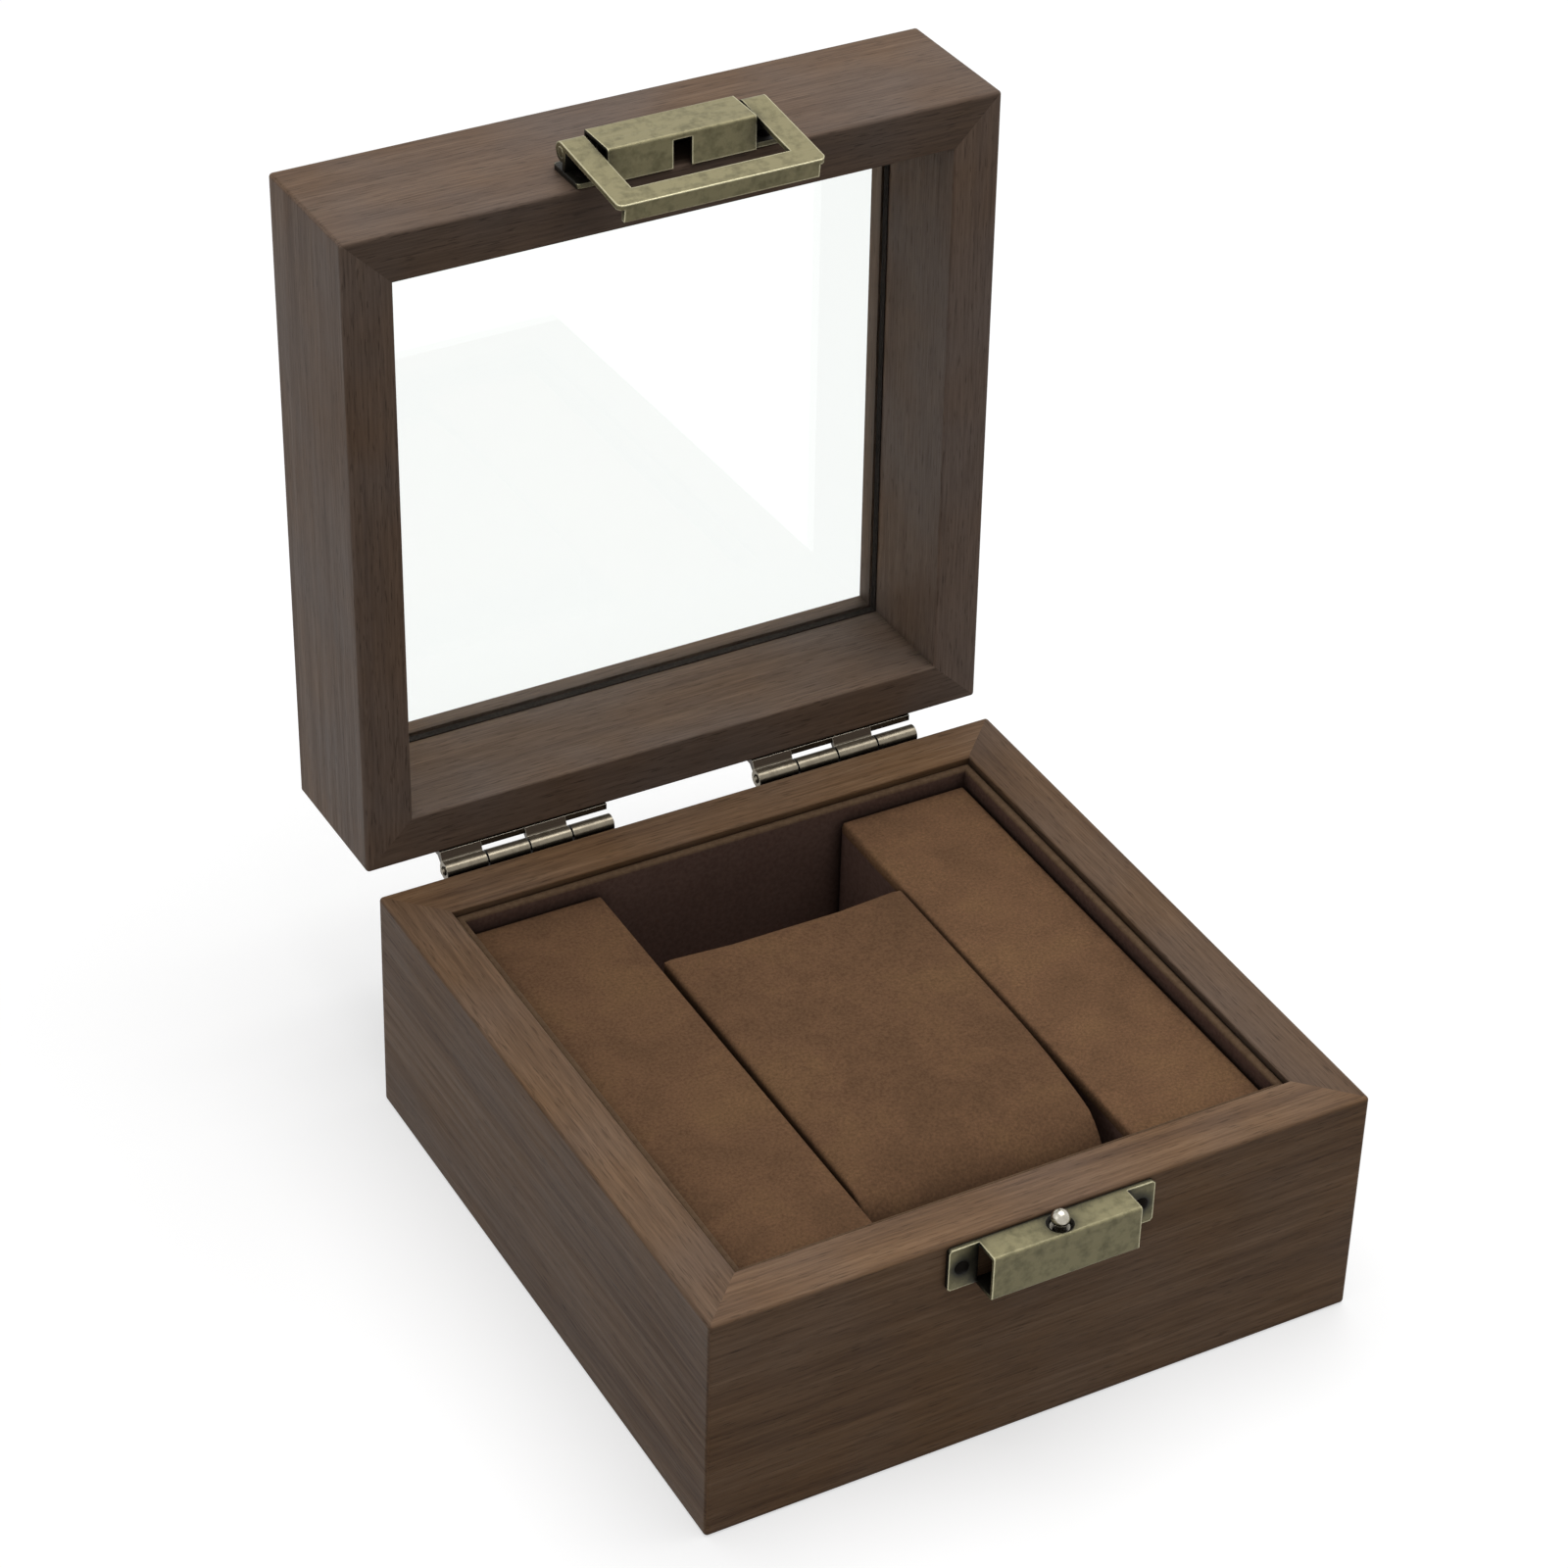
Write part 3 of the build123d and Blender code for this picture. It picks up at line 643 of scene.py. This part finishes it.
def floatGlass():
    material, tree = newMaterial("floatGlass")
    path = addNode(tree, "ShaderNodeLightPath")
    pane = addNode(tree, "ShaderNodeBsdfPrincipled", {
        "Base Color": linear(glass["body"]), "Roughness": 0.0, "IOR": glass["index"],
        "Transmission Weight": 1.0})
    clear = addNode(tree, "ShaderNodeBsdfTransparent", {"Color": linear(glass["shadow"])})
    # light passes to the floor without the dark shadow that refraction leaves
    surface = addNode(tree, "ShaderNodeMixShader", {}, {
        "Fac": path.outputs["Is Shadow Ray"], 1: pane.outputs[0], 2: clear.outputs[0]})
    addNode(tree, "ShaderNodeOutputMaterial", {}, {"Surface": surface.outputs[0]})
    return material


paint("lid_glass", floatGlass())
print("glass set")


# Suede microfibre glued over foam board: a short nap that strokes into faint lighter and darker patches.
suede = {
    "nap": "#664B36",
    "brushedLight": "#6B5038",
    "brushedDark": "#5F4632",
    "speck": "#7E6248",
    "stops": (0.34, 0.50, 0.68),
    "patch": 13,              # mm
    "stroke": 3,
    "strokeTones": (0.95, 1.05),
    "strand": 0.45,           # nap fibres are finer; this is as fine as shows
    "strandSpan": (0.32, 0.68),
    "strandTones": (0.76, 1.24),
    "roughness": 0.92,
    "specular": 0.1,
    "sheen": 0.1,
    "sheenRoughness": 0.5,
    "relief": 0.6,
    "depth": 0.08 * mm,
    "corner": 8 * mm,         # painted shade darkens the nap this near to a wall
    "cornerShare": (0.40, 0.95),
    "cornerTone": 0.5,
    # painted light and shade: right pad lighter, left pad and pillow darker, as light falls from the right
    "tones": {"left": 0.90, "right": 1.05, "pillow": 0.90},
}


def suedeMicrofibre(name, tone):
    material, tree = newMaterial(name)
    place = addNode(tree, "ShaderNodeTexCoord").outputs["Object"]
    patch = addNode(tree, "ShaderNodeTexNoise", {
        "Scale": 1 / (suede["patch"] * mm), "Detail": 3, "Roughness": 0.55, "Distortion": 0.5},
        {"Vector": place})
    strand = addNode(tree, "ShaderNodeTexNoise", {
        "Scale": 1 / (suede["strand"] * mm), "Detail": 3, "Roughness": 0.7}, {"Vector": place})
    stroke = addNode(tree, "ShaderNodeTexNoise", {
        "Scale": 1 / (suede["stroke"] * mm), "Detail": 2, "Distortion": 0.4}, {"Vector": place})
    colour = addNode(tree, "ShaderNodeValToRGB", {
        "stops": rampStops(suede["stops"], suede["brushedDark"], suede["nap"], suede["brushedLight"])},
        {"Fac": patch.outputs["Fac"]})
    against, along = suede["strokeTones"]
    strokeShade = addNode(tree, "ShaderNodeMapRange", {
        "From Min": noiseLow, "From Max": noiseHigh, "To Min": against * tone, "To Max": along * tone},
        {"Value": stroke.outputs["Fac"]})
    strandLow, strandHigh = suede["strandSpan"]
    strandDark, strandLight = suede["strandTones"]
    strandShade = addNode(tree, "ShaderNodeMapRange", {
        "From Min": strandLow, "From Max": strandHigh, "To Min": strandDark, "To Max": strandLight},
        {"Value": strand.outputs["Fac"]})
    shade = addNode(tree, "ShaderNodeMath", {"operation": "MULTIPLY"}, {
        0: strokeShade.outputs[0], 1: strandShade.outputs[0]})
    textureAndPaintedShade = addNode(tree, "ShaderNodeMath", {"operation": "MULTIPLY"}, {
        0: shade.outputs[0],
        1: wallShade(tree, suede["corner"], suede["cornerShare"], suede["cornerTone"])})
    bump = addNode(tree, "ShaderNodeBump", {"Strength": suede["relief"], "Distance": suede["depth"]}, {
        "Height": shade.outputs[0]})
    surface = addNode(tree, "ShaderNodeBsdfPrincipled", {
        "Roughness": suede["roughness"], "Specular IOR Level": suede["specular"],
        "Sheen Weight": suede["sheen"], "Sheen Roughness": suede["sheenRoughness"],
        "Sheen Tint": linear(suede["speck"])}, {
        "Base Color": shaded(tree, colour.outputs[0], textureAndPaintedShade.outputs[0]), "Normal": bump.outputs[0]})
    addNode(tree, "ShaderNodeOutputMaterial", {}, {"Surface": surface.outputs[0]})
    return material


def boxPiece(name, low, high):
    bpy.ops.object.select_all(action="DESELECT")
    bpy.ops.mesh.primitive_cube_add(size=1, location=(low + high) / 2)
    piece = bpy.context.object
    piece.name = name
    piece.scale = high - low
    bpy.ops.object.transform_apply(location=True, rotation=True, scale=True)
    return piece


picking = {
    "near": 0.1 * mm,     # an edge this near to a place counts as lying there
    "parallel": 0.9,      # an edge this much along an axis counts as parallel to it
    "facing": 0.7,        # a face turned this much to the well counts as facing it
}


def bevelEdges(piece, chosen, width, segments):
    # chosen says by an edge's middle and direction whether it is bevelled
    bpy.ops.object.mode_set(mode="EDIT")
    bpy.ops.mesh.select_mode(type="EDGE")
    bpy.ops.mesh.select_all(action="DESELECT")
    bpy.ops.object.mode_set(mode="OBJECT")
    corners = piece.data.vertices
    for edge in piece.data.edges:
        first, second = (corners[i].co for i in edge.vertices)
        edge.select = chosen((first + second) / 2, (second - first).normalized())
    bpy.ops.object.mode_set(mode="EDIT")
    bpy.ops.mesh.bevel(offset=width, offset_type="OFFSET", segments=segments, affect="EDGES")
    bpy.ops.object.mode_set(mode="OBJECT")


def applyModifier(piece, kind, settings):
    modifier = piece.modifiers.new(kind.lower(), kind)
    for key, value in settings.items():
        setattr(modifier, key, value)
    bpy.context.view_layer.objects.active = piece
    bpy.ops.object.modifier_apply(modifier=modifier.name)


simulation = {
    "upscale": 10,            # cloth settings suit decimetres
    "frames": 14,
    "pressure": 4.0,
    "quality": 6,
    "mass": 0.3,
}


def plumpUp(piece, voxel, cap, held):
    # fills the piece like a cushion; no point moves further than cap, and held points don't move
    scale = simulation["upscale"]
    piece.data.transform(Matrix.Scale(scale, 4))
    applyModifier(piece, "REMESH", {"mode": "VOXEL", "voxel_size": voxel * mm * scale})
    before = [v.co.copy() for v in piece.data.vertices]
    pins = piece.vertex_groups.new(name="held")
    pins.add([v.index for v in piece.data.vertices if held(v.co / scale)], 1.0, "REPLACE")
    modifier = piece.modifiers.new("cloth", "CLOTH")
    cloth = modifier.settings
    cloth.quality = simulation["quality"]
    cloth.mass = simulation["mass"]
    cloth.use_pressure = True
    cloth.uniform_pressure_force = simulation["pressure"]
    cloth.vertex_group_mass = "held"
    cloth.effector_weights.gravity = 0
    modifier.collision_settings.use_collision = False
    modifier.point_cache.frame_start = 1
    modifier.point_cache.frame_end = simulation["frames"]
    for step in range(1, simulation["frames"] + 1):
        bpy.context.scene.frame_set(step)
    bpy.context.view_layer.objects.active = piece
    bpy.ops.object.modifier_apply(modifier=modifier.name)
    bpy.context.scene.frame_set(1)
    limit = cap * mm * scale
    for vertex, start in zip(piece.data.vertices, before):
        move = vertex.co - start
        if move.length > limit:
            vertex.co = start + move.normalized() * limit
    piece.vertex_groups.clear()
    piece.data.transform(Matrix.Scale(1 / scale, 4))


def finishCushion(piece, cut, linings, body, replaced):
    bpy.ops.object.select_all(action="DESELECT")
    piece.select_set(True)
    bpy.context.view_layer.objects.active = piece
    bpy.ops.object.shade_smooth()
    piece.data.materials.clear()
    for cover in (suedeMicrofibre("suedeMicrofibre_" + cut, suede["tones"][cut]), *linings):
        piece.data.materials.append(cover)
    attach(piece, body)
    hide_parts(*replaced)


# The side pads fill the box on either side of the well, suede on top, leatherette down the well's side.
sidePad = {
    "voxel": 0.6,        # mm, as the rest
    "inset": 0.05,
    "topInset": 0.05,
    "cap": 0.35,
    "edgeRound": 0.35,
    "roundSteps": 3,
    "edgeHeld": 0.7,     # glued down this near to its sides
    "suedeTurn": 1.4,    # how far the suede turns down before the lining starts
}


def addSidePad(side, wellSide):
    cover = side + "_pad_cover"
    low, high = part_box(cover)
    inset = sidePad["inset"] * mm
    pad = boxPiece(side + "SuedePad", low + Vector((inset, inset, 0)),
                   high - Vector((inset, inset, sidePad["topInset"] * mm)))
    edge = inset + sidePad["edgeHeld"] * mm
    top = high.z - sidePad["topInset"] * mm
    bevelEdges(pad, lambda middle, along: abs(middle.z - top) < picking["near"]
               or abs(along.z) > picking["parallel"], sidePad["edgeRound"] * mm, sidePad["roundSteps"])
    plumpUp(pad, sidePad["voxel"], sidePad["cap"], lambda place: place.z < top - edge
            or not (low.x + edge < place.x < high.x - edge and low.y + edge < place.y < high.y - edge))
    finishCushion(pad, side, (leatherette,), "base", (cover, side + "_pad_core"))
    suedeLow = top - sidePad["suedeTurn"] * mm
    for face in pad.data.polygons:
        lined = face.center.z < suedeLow and face.normal.x * wellSide > picking["facing"]
        face.material_index = 1 if lined else 0


# The pillow lifts out: a suede sleeve with two sewn ends, crisp at the back and rolled over at the front.
pillowLook = {
    "voxel": 0.6,        # mm, as the rest
    "topInset": 0.55,
    "frontInset": 0.5,
    "backInset": 0.2,
    "endInset": -0.1,    # the ends press out a little
    "underInset": 0.3,
    "endHeld": 0.5,
    "cap": 0.5,
    "topFront": 9.5,
    "topBack": 0.8,
    "under": 5.5,
    "roundSteps": 8,
    "seamInset": 0.5,
    "seamWidth": 0.35,
    "seamDepth": 0.12,
    "turn": -0.4,        # degrees; it lies a little askew in its well
    "drawIn": 2.4,       # how far the right end is drawn in at the front, where the sleeve rolls over
    "drawFrom": -8.0,    # where that starts, measured from the middle of the box
    "drawCurve": 2,
}


def addPillow():
    low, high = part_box("pillow_cover")
    endInset = pillowLook["endInset"] * mm
    low = Vector((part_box("pillow_left_end")[0].x + endInset, low.y + pillowLook["frontInset"] * mm,
                  low.z + pillowLook["underInset"] * mm))
    high = Vector((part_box("pillow_right_end")[1].x - endInset, high.y - pillowLook["backInset"] * mm,
                   high.z - pillowLook["topInset"] * mm))
    pillow = boxPiece("watchPillow", low, high)
    for y, z, width in ((low.y, high.z, pillowLook["topFront"]), (high.y, high.z, pillowLook["topBack"]),
                        (low.y, low.z, pillowLook["under"]), (high.y, low.z, pillowLook["under"])):
        bevelEdges(pillow, lambda middle, along: abs(along.x) > picking["parallel"]
                   and abs(middle.y - y) < picking["near"] and abs(middle.z - z) < picking["near"],
                   width * mm, pillowLook["roundSteps"])
    sides = high.x - pillowLook["endHeld"] * mm
    plumpUp(pillow, pillowLook["voxel"], pillowLook["cap"], lambda place: abs(place.x) > sides)
    # the seams where the sleeve meets its two ends, and the right end drawn in
    seamX = high.x - pillowLook["seamInset"] * mm
    drawFrom = pillowLook["drawFrom"] * mm
    for vertex in pillow.data.vertices:
        near = (abs(vertex.co.x) - seamX) / (pillowLook["seamWidth"] * mm)
        depth = pillowLook["seamDepth"] * mm * math.exp(-near * near)
        vertex.co -= vertex.normal * depth
        along = max(0, (drawFrom - vertex.co.y) / (drawFrom - low.y))
        side = max(0, vertex.co.x / high.x)
        vertex.co.x -= pillowLook["drawIn"] * mm * side * along ** pillowLook["drawCurve"]
    pillow.data.transform(Matrix.Rotation(math.radians(pillowLook["turn"]), 4, "Z"))
    finishCushion(pillow, "pillow", (), "pillow",
                  ("pillow_cover", "pillow_left_end", "pillow_right_end", "pillow_core"))


addSidePad("left", 1)
addSidePad("right", -1)
print("side pads filled")
addPillow()
print("pillow filled")
